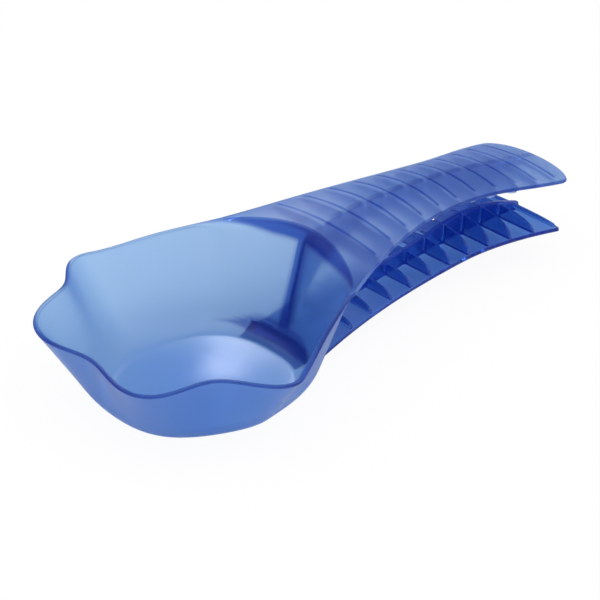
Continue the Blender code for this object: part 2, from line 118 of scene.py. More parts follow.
def outline_half():
    th = np.linspace(0, math.radians(SCALLOP_END), 321)
    w = np.clip((th - 0.5) / 1.0, 0, 1)
    depth = SCALLOP_FRONT * (1 - w) + SCALLOP_SIDE * w
    r = RIM_RADIUS - depth * np.cos(6 * th) + SCALLOP_SWELL * np.sin(th / 2) ** 2
    x = -r * np.cos(th)
    y = r * np.sin(th) * RIM_STRETCH
    p0 = np.array([x[-1], y[-1]])
    a = math.radians(FLANK_ANGLE)
    p1 = p0 + FLANK_REACH * np.array([math.cos(a), -math.sin(a)])
    p3 = np.array([WAIST_X, WAIST_HALF])
    p2 = p3 - np.array([WAIST_REACH, 0.0])
    s = np.linspace(0, 1, 161)[1:, None]
    b = (1 - s) ** 3 * p0 + 3 * (1 - s) ** 2 * s * p1 \
        + 3 * (1 - s) * s * s * p2 + s ** 3 * p3
    s = np.linspace(0, 1, 81)[1:]
    hx = WAIST_X + s * (TIP_X - TIP_ROUND - WAIST_X)
    hy = WAIST_HALF + (TIP_HALF - WAIST_HALF) * s ** 2 * (3 - 2 * s)
    return np.concatenate([x, b[:, 0], hx]), np.concatenate([y, b[:, 1], hy])


OX, OY = outline_half()
_side = int(np.argmax(OY))


def half_width(x):
    return np.interp(x, OX[_side:], OY[_side:])


def top_height(x, y):
    c = np.interp(x, CROWN_X, CROWN_Z)
    return spline(EDGE_X, EDGE_Z, x) \
        + c * (1 - np.clip(np.abs(y) / half_width(x), 0, 1) ** 2)


def low_height(x):
    return spline(LOW_X, LOW_Z, x)


def low_half(x):
    x = np.asarray(x, float)
    return LOW_WAIST_HALF + 0.00085 * np.maximum(0, 110 - x) ** 2 \
        + 0.0038 * np.maximum(0, x - 140) ** 2


def stations():
    x = RIB_FIRST + RIB_PITCH * np.arange(RIB_COUNT)
    x[-1] -= 0.5
    return x


def smooth(t):
    t = np.clip(t, 0, 1)
    return t * t * (3 - 2 * t)


# ------------------------------------------------------------- mesh builder
class Shell:
    def __init__(self, frosted=False):
        self.frosted = frosted
        self.v, self.f, self.d, self.h = [], [], [], []

    def add(self, pts, depth=0.0):
        """Adds points; depth says how much deeper or paler the tint is."""
        a = np.asarray(pts, float)
        base = len(self.v)
        self.v.extend(tuple(p) for p in a.reshape(-1, 3))
        self.d.extend(np.broadcast_to(np.asarray(depth, float), a.shape[:-1]).ravel())
        self.h.extend((smooth((a[..., 0] - 56.0) / 14.0) * self.frosted).ravel())
        return base + np.arange(a.size // 3).reshape(a.shape[:-1])

    def grid(self, idx, closed=False):
        nu, nv = idx.shape
        for i in range(nu - 1):
            for j in range(nv if closed else nv - 1):
                k = (j + 1) % nv
                q = []
                for p in (idx[i, j], idx[i, k], idx[i + 1, k], idx[i + 1, j]):
                    if int(p) not in q:
                        q.append(int(p))
                if len(q) > 2:
                    self.f.append(tuple(q))

    def make(self, name, sharp=38):
        me = bpy.data.meshes.new(name)
        me.from_pydata([tuple(c * MM for c in v) for v in self.v], [], self.f)
        tone = me.attributes.new("depth", "FLOAT", "POINT")
        tone.data.foreach_set("value", np.array(self.d, np.float32))
        haze = me.attributes.new("haze", "FLOAT", "POINT")
        haze.data.foreach_set("value", np.array(self.h, np.float32))
        ob = bpy.data.objects.new(name, me)
        bpy.context.scene.collection.objects.link(ob)
        bm = bmesh.new()
        bm.from_mesh(me)
        bmesh.ops.recalc_face_normals(bm, faces=bm.faces)
        bad = [e for e in bm.edges if len(e.link_faces) != 2]
        loose = [v for v in bm.verts if not v.link_faces]
        vol = bm.calc_volume(signed=True) * 1e6
        if vol < 0:
            bmesh.ops.reverse_faces(bm, faces=bm.faces)
        print("MESH", name, len(bm.verts), "verts", len(bm.faces), "faces",
              len(bad), "open", len(loose), "loose", round(vol, 2), "cm3")
        if bad:
            for e in bad[:6]:
                print("   open edge", [tuple(round(c * 1000, 2) for c in v.co) for v in e.verts])
        for v in loose:
            bm.verts.remove(v)
        bm.to_mesh(me)
        bm.free()
        me.shade_smooth()
        me.set_sharp_from_angle(angle=math.radians(sharp))
        return ob


def ridge(q, half, depth):
    """Height of a drafted, rounded rib at distance q from its middle."""
    e = np.abs(q) / half
    d = np.asarray(depth, float)
    s = np.clip(d / 1.5, 0, 1)
    out = np.where(e <= 0.73, d, 0.0)
    xs = (0.73, 0.87, 0.96, 1.14, 1.37, 1.74)
    vals = (d, d - 0.12 * s, d - 0.45 * s, 0.35 * s, 0.10 * s, 0.0 * s)
    for a, b, va, vb in zip(xs, xs[1:], vals, vals[1:]):
        m = (e > a) & (e <= b)
        out = np.where(m, va + (vb - va) * (e - a) / (b - a), out)
    return np.maximum(out, 0)


RIDGE_STEPS = (0.0, 0.42, 0.73, 0.87, 0.96, 1.14, 1.37, 1.74)


def rib_lines(xs, lo, hi, gap_lines):
    """x rows: rib cross-sections with plain rows between them."""
    rows = []
    half = RIB_THICK / 2
    for k, s in enumerate(xs):
        offs = sorted({round(g * o * half, 5) for o in RIDGE_STEPS for g in (-1, 1)})
        rows += [s + o for o in offs]
        if k < len(xs) - 1:
            a, b = s + half * 1.74, xs[k + 1] - half * 1.74
            rows += list(np.linspace(a, b, gap_lines + 2)[1:-1])
    return np.array(sorted(rows))


# ------------------------------------------------------------------- mouth
CX = BASE_CENTRE


def mouth_table():
    ang = np.arctan2(OY, OX - CX)
    rad = np.hypot(OX - CX, OY)
    o = np.argsort(ang)
    y = np.linspace(-70, 70, 561)
    bx = MOUTH_BACK - MOUTH_BOW * y * y
    ang2 = np.arctan2(y, bx - CX)
    rad2 = np.hypot(bx - CX, y)
    n = 2880
    phi = np.linspace(0, 2 * math.pi, n, endpoint=False)
    a = np.abs((phi + math.pi) % (2 * math.pi) - math.pi)
    r1 = np.interp(a, ang[o], rad[o])
    r2 = np.where(a < math.radians(80), np.interp(a, ang2, rad2), 1e3)
    k = 2.2
    r = -k * np.log(np.exp(-(r1 - 40) / k) + np.exp(-(r2 - 40) / k)) + 40
    back = 1 / (1 + np.exp(np.clip((r2 - r1) / k, -60, 60)))
    sigma = math.radians(CORNER_EASE) / (2 * math.pi / n)
    reach = int(4 * sigma)
    kern = np.exp(-0.5 * (np.arange(-reach, reach + 1) / sigma) ** 2)
    kern /= kern.sum()
    ease = lambda q: sum(kw * np.roll(q, j) for kw, j in zip(kern, range(-reach, reach + 1)))
    # the scallops themselves are eased only lightly
    soft = ease(r)
    near = smooth((math.radians(75) - a) / math.radians(20))
    soft = soft * near + r * (1 - near) - 0.0
    return phi, soft, r1, back


_PHI, _RS, _R1, _BACK = mouth_table()


def at(table, phi):
    p = np.mod(phi, 2 * math.pi)
    return np.interp(p, np.append(_PHI, 2 * math.pi), np.append(table, table[0]))


def mouth_z(x, y):
    lift = np.clip((x - 20) / 20, 0, 1)
    c = np.interp(x, CROWN_X, CROWN_Z)
    return spline(EDGE_X, EDGE_Z, x) \
        + c * (1 - np.clip(np.abs(y) / half_width(x), 0, 1) ** 2) * lift


FLOOR_RINGS, FILLET_RINGS, WALL_RINGS, LIP_RINGS = 8, 12, 18, 14


def outer_columns(phi, lip_radius=LIP_RADIUS):
    """Outer face of the bowl along each polar angle, foot to mouth."""
    phi = np.asarray(phi, float)
    c, s = np.cos(phi), np.sin(phi)
    r = at(_RS, phi)
    back = at(_BACK, phi)
    mx, my = CX + r * c, r * s
    p = 2.3 + 0.2 * np.tanh(3 * c)
    rb = (np.abs(c / BASE_HALF_LENGTH) ** p + np.abs(s / BASE_HALF_WIDTH) ** p) ** (-1 / p)
    hold = np.clip(back * 4, 0, 1)
    mz = mouth_z(mx, my) - PLATE * hold
    F = np.stack([CX + (rb - BASE_FILLET) * c, (rb - BASE_FILLET) * s, 0 * c], 1)
    B = np.stack([CX + rb * c, rb * s, 0 * c], 1)
    lip = lip_radius * back
    tx, ty, tz = mx - lip * c, my - lip * s, mz - lip
    T = np.stack([tx, ty, tz], 1)
    W = B + (T - B) * 0.26
    M = np.stack([mx, my, mz], 1)
    up = (T - W) / np.linalg.norm(T - W, axis=1)[:, None]
    K = T + up * ((mz - tz) / np.maximum(up[:, 2], 0.3))[:, None]
    centre = np.stack([CX + 0 * c, 0 * c, 0 * c], 1)
    rings = []
    for t in np.linspace(0, 1, FLOOR_RINGS + 1)[1:-1]:
        rings.append(centre + (F - centre) * t)
    for t in np.linspace(0, 1, FILLET_RINGS):
        rings.append((1 - t) ** 2 * F + 2 * t * (1 - t) * B + t * t * W)
    for t in np.linspace(0, 1, WALL_RINGS + 1)[1:]:
        rings.append(W + (T - W) * t * 0.97)
    h = hold[:, None]
    n = LIP_RINGS
    for j, t in enumerate(np.linspace(0, 1, n)):
        q = (1 - t) ** 2 * T + 2 * t * (1 - t) * K + t * t * M
        plain = W + (M - W) * (0.975 + 0.025 * (j + 1) / n)
        rings.append(q * h + plain * (1 - h))
    return np.array(rings), M, hold


def inner_columns(phi):
    """Inner face: the outer face moved in by the wall thickness."""
    phi = np.asarray(phi, float)
    e = 0.004
    o, M, hold = outer_columns(phi)
    a, _, _ = outer_columns(phi - e)
    b, _, _ = outer_columns(phi + e)
    du = b - a
    dv = np.zeros_like(o)
    dv[1:-1] = o[2:] - o[:-2]
    dv[0] = o[1] - o[0]
    dv[-1] = o[-1] - o[-2]
    nrm = np.cross(dv, du)
    nrm /= np.linalg.norm(nrm, axis=2)[..., None]
    if nrm[1, 0, 2] < 0:
        nrm = -nrm
    th = np.full(len(o), WALL)
    nf = FLOOR_RINGS - 1
    th[:nf] = DOME_EDGE + (DOME - DOME_EDGE) * (1 - (np.arange(1, nf + 1) / (nf + 1)) ** 2) ** 2
    k = FILLET_RINGS // 2 + 1
    th[nf:nf + k] = DOME_EDGE + (WALL - DOME_EDGE) * smooth(np.linspace(0, 1, k))
    return o + nrm * th[:, None, None], nrm, M, hold


# -------------------------------------------------------- scoop shell
def line_table():
    """Handle lines on the +Y side, centre to edge: functions of x."""
    lines = []
    half = SPINE_THICK / 2
    for q in [s * half for s in RIDGE_STEPS] + [2.8]:
        lines.append(("abs", q))
    for s in (0.08, 0.17, 0.26, 0.35, 0.44, 0.53, 0.62, 0.70, 0.78, 0.85, 0.91, 0.955, 0.985, 1.0):
        lines.append(("rel", s))
    for q in (2.25, 1.9, 1.75, 1.6, 1.45, 1.1, EDGE):
        lines.append(("edge", q))
    return lines


def line_y(line, w, reach):
    kind, q = line
    if kind == "abs":
        return q + 0 * w
    if kind == "rel":
        return 2.8 + (w - reach - 0.03 - 2.8) * q
    return w - q


LINES = line_table()
NL = len(LINES)
N_LAND = 6                                  # lines 1.9 .. EDGE from the edge


def solve_start(line):
    """Where a handle line meets the rear edge of the mouth."""
    lo, hi = 40.0, 70.0
    for _ in range(50):
        x = (lo + hi) / 2
        y = float(line_y(line, half_width(x), 2.4))
        ph = math.atan2(y, x - CX)
        inside = math.hypot(x - CX, y) < float(at(_RS, ph))
        if inside:
            lo = x
        else:
            hi = x
    return x, y


def scoop():
    m = Shell(frosted=True)
    # rows of the handle
    st = stations()
    rib_rows = rib_lines(st, 0, 0, 4)
    first, last = rib_rows[0], rib_rows[-1]
    lead = np.linspace(0, 1, 14)[:-1]
    tail = 1 - (1 - np.linspace(0, 1, 12)[1:]) ** 1.6
    # starts
    start = np.zeros((NL, 2))
    for j, ln in enumerate(LINES):
        start[j] = solve_start(ln)
    jc = NL - N_LAND                          # line 1.9 mm from the edge
    xc, yc = start[jc]
    phi_c = math.atan2(yc, xc - CX)
    for j in range(jc + 1, NL):
        lo, hi = xc - 5.0, xc + 5.0
        for _ in range(50):
            x = (lo + hi) / 2
            y = float(line_y(LINES[j], half_width(x), 2.4))
            if math.atan2(y, x - CX) > phi_c:
                lo = x
            else:
                hi = x
        start[j] = (x, y)
    nu = len(lead) + len(rib_rows) + len(tail)
    gx = np.zeros((nu, NL))
    for j in range(NL):
        gx[:len(lead), j] = start[j, 0] + (first - start[j, 0]) * lead
        gx[len(lead):len(lead) + len(rib_rows), j] = rib_rows
    gy = np.zeros_like(gx)
    body = len(lead) + len(rib_rows)
    for j, ln in enumerate(LINES):
        gy[:body, j] = line_y(ln, half_width(gx[:body, j]), 2.4)
    # tip: superelliptic end
    for j, ln in enumerate(LINES):
        w = TIP_HALF - EDGE
        y0 = float(line_y(ln, half_width(TIP_X - TIP_ROUND), 2.4))
        v = min(1.0, y0 / w)
        xt = TIP_X - TIP_ROUND + (TIP_ROUND - EDGE) * math.sqrt(max(0, 1 - v ** TIP_POWER))
        gx[body:, j] = last + (xt - last) * tail
        gy[body:, j] = line_y(ln, half_width(np.minimum(gx[body:, j], TIP_X - TIP_ROUND)), 2.4)
    # mirrored lines, -Y edge to +Y edge
    X = np.concatenate([gx[:, :0:-1], gx], 1)
    Y = np.concatenate([-gy[:, :0:-1], gy], 1)
    nl = X.shape[1]
    mid = NL - 1
    Zt = top_height(X, Y)
    # underside with ribs and spine
    base = Zt - PLATE
    w = half_width(X)
    reach = w - 2.4
    spine = ridge(Y, SPINE_THICK / 2, spline(SPINE_X, UP_SPINE, np.clip(X, 60, 190)))
    spine *= smooth((191.5 - X) / 1.2)
    ribs = np.zeros_like(X)
    for i, xs in enumerate(st):
        d = float(spline(SPINE_X, UP_RIB, xs))
        r0 = reach - (1.0 if xs > TIP_X - TIP_ROUND - 6 else 0.0)
        arc = np.sqrt(np.clip(1 - (np.abs(Y) / r0) ** 2, 0, 1))
        dep = np.where(np.abs(Y) < r0, 0.8 + (d - 0.8) * arc, 0.0)
        ribs = np.maximum(ribs, ridge(X - xs, RIB_THICK / 2, dep))
    drop = np.maximum(spine, ribs)
    XB, YB, ZB = X.copy(), Y.copy(), base - drop
    # web: the spine's lower edge sweeps down to the foot of the back wall
    web0 = (57.5, 8.6)
    web1 = (WEB_REACH, float(top_height(WEB_REACH, 0)) - PLATE
            - float(spline(SPINE_X, UP_SPINE, WEB_REACH)))

    def web(t):
        t = np.asarray(t, float)
        return ((1 - t) ** 2 * web0[0] + 2 * t * (1 - t) * 65.0 + t * t * web1[0],
                (1 - t) ** 2 * web0[1] + 2 * t * (1 - t) * 31.0 + t * t * web1[1])

    centre_lines = [mid + k for k in range(-4, 5)]
    col0, M0, _ = outer_columns([0.0])
    col0 = col0[:, 0]
    low_ring = int(np.argmax(col0[:, 2] > 8.4))
    low_len = 0.0
    seg = np.linalg.norm(np.diff(col0[low_ring:], axis=0), axis=1)
    wall_len = seg.sum()
    plate_len = WEB_REACH - MOUTH_BACK
    total = wall_len + plate_len
    for j in centre_lines:
        for i in range(nu):
            x = X[i, j]
            if x < WEB_REACH:
                t = (wall_len + (x - X[0, j])) / (wall_len + WEB_REACH - X[0, j])
                XB[i, j], ZB[i, j] = web(t)
    # faint lines show on top over the ribs and spine
    mark = 0.55 * smooth((2.3 - np.abs(Y)) / 1.2) * smooth((X - MOUTH_BACK - 4) / 12)
    for i, xs in enumerate(st):
        mark = np.maximum(mark, 1.0 * smooth(1.3 - np.abs(X - xs) / 1.0)
                          * smooth((reach - np.abs(Y)) / 1.5))
    # and the handle's start, outside the web, is deeper than its middle
    start = 0.36 * smooth((101.0 - X) / 28.0) * smooth((np.abs(Y) - 3.0) / 6.0)
    top = m.add(np.dstack([X, Y, Zt]), np.maximum(mark, start))
    deep = np.clip(drop / 6.0, 0, 1) * 0.10
    for j in centre_lines:
        deep[X[:, j] < WEB_REACH, j] = 0.35
    under = m.add(np.dstack([XB, YB, ZB]), deep)
    m.grid(top)
    # the underside has no first row on its land lines: closed by fans below
    skip = [nl - 1 - k for k in range(1, N_LAND)] + [k for k in range(1, N_LAND)]
    for i in range(nu - 1):
        for j in range(nl - 1):
            if i == 0 and (j in skip or j + 1 in skip):
                continue
            m.f.append((int(under[i, j]), int(under[i, j + 1]),
                        int(under[i + 1, j + 1]), int(under[i + 1, j])))
    for side in (0, 1):
        g = (lambda k: nl - 1 - k) if side == 0 else (lambda k: k)
        a = under[0, g(0)]
        b = under[0, g(N_LAND)]
        r1 = [under[1, g(k)] for k in range(N_LAND + 1)]
        h = N_LAND // 2
        for k in range(h):
            m.f.append((int(a), int(r1[k]), int(r1[k + 1])))
        m.f.append((int(a), int(r1[h]), int(b)))
        for k in range(h, N_LAND):
            m.f.append((int(b), int(r1[k]), int(r1[k + 1])))
    # ---- bowl, outer face
    front = np.linspace(phi_c, 2 * math.pi - phi_c, RIM_COLUMNS)
    fo, fM, fhold = outer_columns(front)
    hold_c = float(fhold[0])
    a = np.abs((front + math.pi) % (2 * math.pi) - math.pi)
    # g: 0 on a plain rim, 1 at the corner where the handle's edge begins
    dist = np.minimum(front - phi_c, 2 * math.pi - phi_c - front)
    g = smooth(1 - dist / math.radians(11.0))[:, None]
    r1 = at(_R1, front)
    px_, py_ = CX + r1 * np.cos(front), r1 * np.sin(front)
    # outward normal of the true outline
    tx = np.gradient(px_)
    ty = np.gradient(py_)
    nx, ny = ty, -tx
    ln = np.hypot(nx, ny)
    nx, ny = nx / ln, ny / ln
    if nx[len(nx) // 2] > 0:
        nx, ny = -nx, -ny
    fi, fn, _, _ = inner_columns(front)
    I = fi[-1]
    up = fo[-1] - fo[-6]
    up /= np.linalg.norm(up, axis=1)[:, None]
    up_in = fi[-1] - fi[-6]
    up_in /= np.linalg.norm(up_in, axis=1)[:, None]
    P1 = np.stack([px_, py_, 0 * px_], 1)
    N2 = np.stack([nx, ny, 0 * nx], 1)

    def inset(d, z_drop):
        q = P1 - N2 * d
        q[:, 2] = top_height(q[:, 0], q[:, 1]) - z_drop
        return q

    # the rim's outer top edge is the true outline
    M_true = P1.copy()
    M_true[:, 2] = mouth_z(px_, py_)
    shift = smooth(1 - dist / math.radians(24.0))[:, None]
    M_edge = fM.copy()
    M_edge[:, 2] += PLATE * fhold
    M_edge = M_edge * (1 - shift) + M_true * shift
    inward = I - M_edge
    inward[:, 2] = 0
    wid = np.linalg.norm(inward, axis=1)[:, None]
    inward /= wid
    wid = np.clip(wid, 1.2, 2.6)
    c0 = (M_edge - up * EDGE) * (1 - g) + inset(EDGE, PLATE) * g
    L = []
    Itop = M_edge + inward * wid
    Itop[:, 2] = M_edge[:, 2] + (I[:, 2] - M_edge[:, 2]) * 0.35
    R = Itop - up_in * 0.6
    ends = [(0.30, EDGE), (0.48, 1.1), (0.66, 1.45)]
    for f, d in ends:
        q = M_edge + (Itop - M_edge) * f
        L.append(q * (1 - g) + inset(d, 0) * g)
    A = M_edge + (Itop - M_edge) * 0.66
    for t, d in ((0.34, 1.6), (0.67, 1.75)):
        q = (1 - t) ** 2 * A + 2 * t * (1 - t) * Itop + t * t * R
        L.append(q * (1 - g) + inset(d, 0) * g)
    L.append(R * (1 - g) + inset(1.9, 0) * g)
    side_mid = P1 + N2 * EDGE
    side_mid[:, 2] = mouth_z(px_, py_) - PLATE / 2
    C = M_edge * (1 - g) + side_mid * g
    rounds = []
    for t in np.linspace(0, 1, 7)[1:-1]:
        rounds.append((1 - t) ** 2 * c0 + 2 * t * (1 - t) * C + t * t * L[0])
    # corner columns reuse the handle's first row
    ring0 = np.array([c0] + rounds + L)          # c0, 5 rounds, 6 land lines
    n_cap = len(ring0)
    cap = np.zeros((n_cap, RIM_COLUMNS), int)
    for k in range(n_cap):
        rim = RIM_DEPTH * (1.0 if k < 6 else 0.5 if k == 6 else 0.25)
        cap[k, 1:-1] = m.add(ring0[k, 1:-1], rim * (1 - g[1:-1, 0]) + (EDGE_DEPTH if 0 < k < 6 else 0.1) * g[1:-1, 0])
    plus = lambda k: nl - 1 - k                  # column index from the +Y edge
    cap[0, 0], cap[0, -1] = under[0, nl - 1], under[0, 0]
    for k in range(6):
        cap[6 + k, 0] = top[0, nl - 1 - k]
        cap[6 + k, -1] = top[0, k]

    # edge strip round the handle, shared with the rim at both corners
    def strip(points_top, points_bot):
        """Rounded side between matching top and bottom boundary points."""
        pt = np.array([m.v[i] for i in points_top])
        pb = np.array([m.v[i] for i in points_bot])
        d = np.gradient(pt[:, :2], axis=0)
        n = np.stack([d[:, 1], -d[:, 0]], 1)
        n /= np.linalg.norm(n, axis=1)[:, None]
        mid_ = (pt + pb) / 2
        cen = np.array([120.0, 0.0])
        if ((mid_[:, :2] - cen) * n).sum() < 0:
            n = -n
        ctrl = mid_.copy()
        ctrl[:, :2] += n * 2 * EDGE
        out = []
        for t in np.linspace(0, 1, 7)[1:-1]:
            out.append((1 - t) ** 2 * pb + 2 * t * (1 - t) * ctrl + t * t * pt)
        return np.array(out)

    loop_t = list(top[:, nl - 1]) + list(top[nu - 1, nl - 2:0:-1]) + list(top[::-1, 0])
    loop_b = list(under[:, nl - 1]) + list(under[nu - 1, nl - 2:0:-1]) + list(under[::-1, 0])
    mids = m.add(strip(loop_t, loop_b), EDGE_DEPTH)
    band = np.vstack([np.array(loop_b)[None], mids, np.array(loop_t)[None]])
    m.grid(band)
    for k in range(5):
        cap[1 + k, 0] = mids[k, 0]
        cap[1 + k, -1] = mids[k, -1]
    m.grid(cap)
    # outer rings: the front columns flare into c0, the rear ones end on the plate
    rear_lines = [j for j in range(N_LAND, nl - N_LAND)]      # under lines kept
    rear_phi = np.array([math.atan2(Y[0, j], X[0, j] - CX) for j in rear_lines])
    ro, _, _ = outer_columns(rear_phi)
    for jj, j in enumerate(rear_lines):
        if j in centre_lines:
            seg_j = np.concatenate([[0], np.cumsum(np.linalg.norm(np.diff(ro[low_ring:, jj], axis=0), axis=1))])
            full = seg_j[-1] + WEB_REACH - X[0, j]
            t = seg_j / full
            bx, bz = web(t)
            ro[low_ring:, jj, 0] = bx
            ro[low_ring:, jj, 2] = bz
    nr = len(fo)
    t = np.linspace(0, 1, nr)
    lead_in = np.clip((t - 0.35) / 0.65, 0, 1)
    flare = (c0 - fo[-1])[None] * (lead_in ** 3)[:, None, None]
    fo2 = fo + flare
    cols = np.zeros((nr, RIM_COLUMNS + len(rear_lines)), int)

    def root(phi):
        """Painted shade on the bowl's fillet, where the clip arm's heavy root meets the bowl."""
        a_ = np.abs((np.asarray(phi) + math.pi) % (2 * math.pi) - math.pi)
        side = smooth((math.radians(48) - a_) / math.radians(12))
        low = 0.34 + 0.20 * smooth((a_ - math.radians(16)) / math.radians(22))
        high = 1.0 - 0.28 * smooth((a_ - math.radians(14)) / math.radians(26))
        f = np.zeros((nr - 1, len(a_)))
        t_ = np.linspace(0, 1, FILLET_RINGS)[:, None]
        f[FLOOR_RINGS - 1:FLOOR_RINGS - 1 + FILLET_RINGS] = smooth((t_ - low[None]) / 0.14) * smooth((high[None] - t_) / 0.14)
        return ROOT_SHADE * f * side[None]

    def lip_shade(phi):
        """Painted shade along the rolled lip: heaviest behind the bowl, thinning towards its corners."""
        a_ = np.abs((np.asarray(phi) + math.pi) % (2 * math.pi) - math.pi)
        low = 0.05 + 0.62 * smooth((a_ - math.radians(12)) / math.radians(34))
        f = np.zeros((nr - 1, len(a_)))
        u = np.linspace(0, 1, LIP_RINGS)[:-1]
        f[1 - LIP_RINGS:] = smooth((u[:, None] - low[None]) / 0.3)
        return LIP_SHADE * f * (0.5 + 0.5 * smooth((math.radians(50) - a_) / math.radians(18)))[None]

    # painted shade: the band along the rolled lip and the crease at the clip arm's root
    rear_deep = np.maximum(lip_shade(rear_phi), 0.5 * root(rear_phi))
    beside = smooth((4.5 - np.abs(ro[:-1, :, 1])) / 1.0) * smooth((ro[:-1, :, 2] - 6.0) / 4.0)
    rear_deep = np.maximum(rear_deep, 0.8 * beside)
    front_out = np.maximum(lip_shade(front) * fhold[None], 0.5 * root(front))
    front_deep = np.maximum(lip_shade(front) * fhold[None], root(front))
    for jj, j in enumerate(rear_lines):
        if j in centre_lines:
            rear_deep[low_ring:, jj] = 0.35
    cols[:-1, :RIM_COLUMNS] = m.add(fo2[:-1], front_out)
    cols[-1, :RIM_COLUMNS] = cap[0]
    # after the last front column (-Y corner) come the rear lines, -Y to +Y
    cols[:-1, RIM_COLUMNS:] = m.add(ro[:-1], rear_deep)
    cols[-1, RIM_COLUMNS:] = [under[0, j] for j in rear_lines]
    m.grid(cols, closed=True)
    c = m.add([[CX, 0, 0]])[0]
    for j in range(cols.shape[1]):
        k = (j + 1) % cols.shape[1]
        m.f.append((int(c), int(cols[0, j]), int(cols[0, k])))
    # inner rings
    rear_top = [j for j in range(N_LAND, nl - N_LAND)]
    ri, _, _, _ = inner_columns(np.array([math.atan2(Y[0, j], X[0, j] - CX) for j in rear_top]))
    endr = np.array([m.v[top[0, j]] for j in rear_top])
    lead_in = np.clip((t - 0.75) / 0.25, 0, 1)
    ri = ri + (endr - ri[-1])[None] * (lead_in ** 2)[:, None, None]
    endf = np.array([m.v[cap[-1, j]] for j in range(RIM_COLUMNS)])
    lead_in = np.clip((t - 0.6) / 0.4, 0, 1)
    fi2 = fi + (endf - fi[-1])[None] * (lead_in ** 2)[:, None, None]
    cols = np.zeros((nr, RIM_COLUMNS + len(rear_top)), int)
    cols[:-1, :RIM_COLUMNS] = m.add(fi2[:-1], front_deep)
    cols[-1, :RIM_COLUMNS] = cap[-1]
    over = smooth((2.7 - np.abs(ri[:-1, :, 1])) / 0.7) * smooth((ri[:-1, :, 2] - 4.0) / 4.0)
    inner_deep = np.maximum(np.maximum(lip_shade(rear_phi), root(rear_phi)), over)
    cols[:-1, RIM_COLUMNS:] = m.add(ri[:-1], inner_deep)
    cols[-1, RIM_COLUMNS:] = [top[0, j] for j in rear_top]
    m.grid(cols, closed=True)
    c = m.add([[CX, 0, DOME]])[0]
    for j in range(cols.shape[1]):
        k = (j + 1) % cols.shape[1]
        m.f.append((int(c), int(cols[0, j]), int(cols[0, k])))
    return m.make("scoop_shell")


# --------------------------------------------------------- clip shell
def wall_reader():
    """x of the bowl's outer face behind the foot, from y and z."""
    ph = np.linspace(-0.75, 0.75, 161)
    o, _, _ = outer_columns(ph)
    o = o[FLOOR_RINGS - 1:FLOOR_RINGS + FILLET_RINGS + 8]

    def read(y, z):
        prof = np.array([(np.interp(y, r[:, 1], r[:, 0]), np.interp(y, r[:, 1], r[:, 2])) for r in o])
        return float(np.interp(z, prof[:, 1], prof[:, 0]))
    return read


